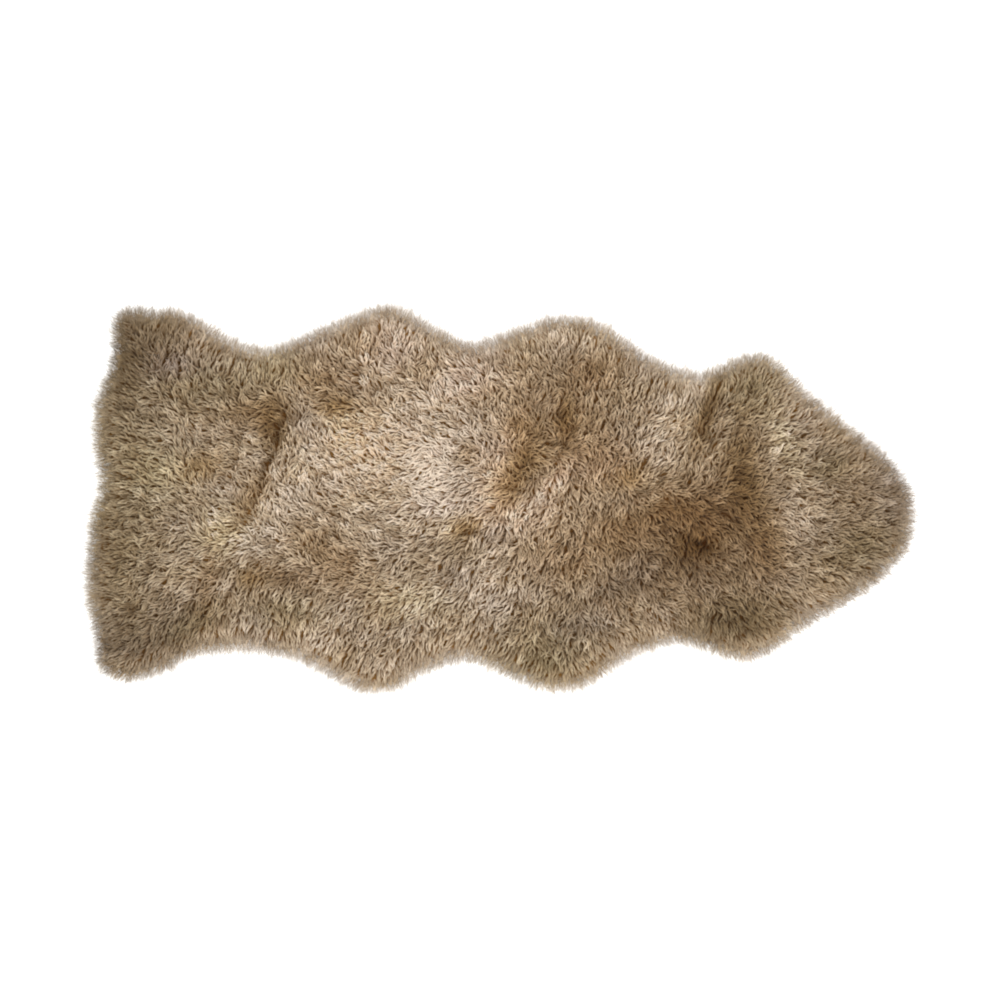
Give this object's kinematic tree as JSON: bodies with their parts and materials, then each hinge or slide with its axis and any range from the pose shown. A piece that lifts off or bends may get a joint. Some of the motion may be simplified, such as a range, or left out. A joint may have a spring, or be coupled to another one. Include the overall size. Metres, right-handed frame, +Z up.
{
  "type": "sheepskin rug",
  "caption": "Taupe long-wool sheepskin rug with a wavy pelt outline, lying flat on the floor, wool side up.",
  "frame": {"origin": "on the floor under the middle of the rug's box", "axes": "+X along the rug towards its nose end, +Y across it, +Z up out of the wool"},
  "size_m": [1.8002, 0.843, 0.0584],
  "materials": {
    "hide": "tanned suede, matt",
    "wool": "wavy wool locks, soft"
  },
  "bodies": {
    "root": {"hide": "hide", "fleece": "wool"}
  },
  "joints": []
}
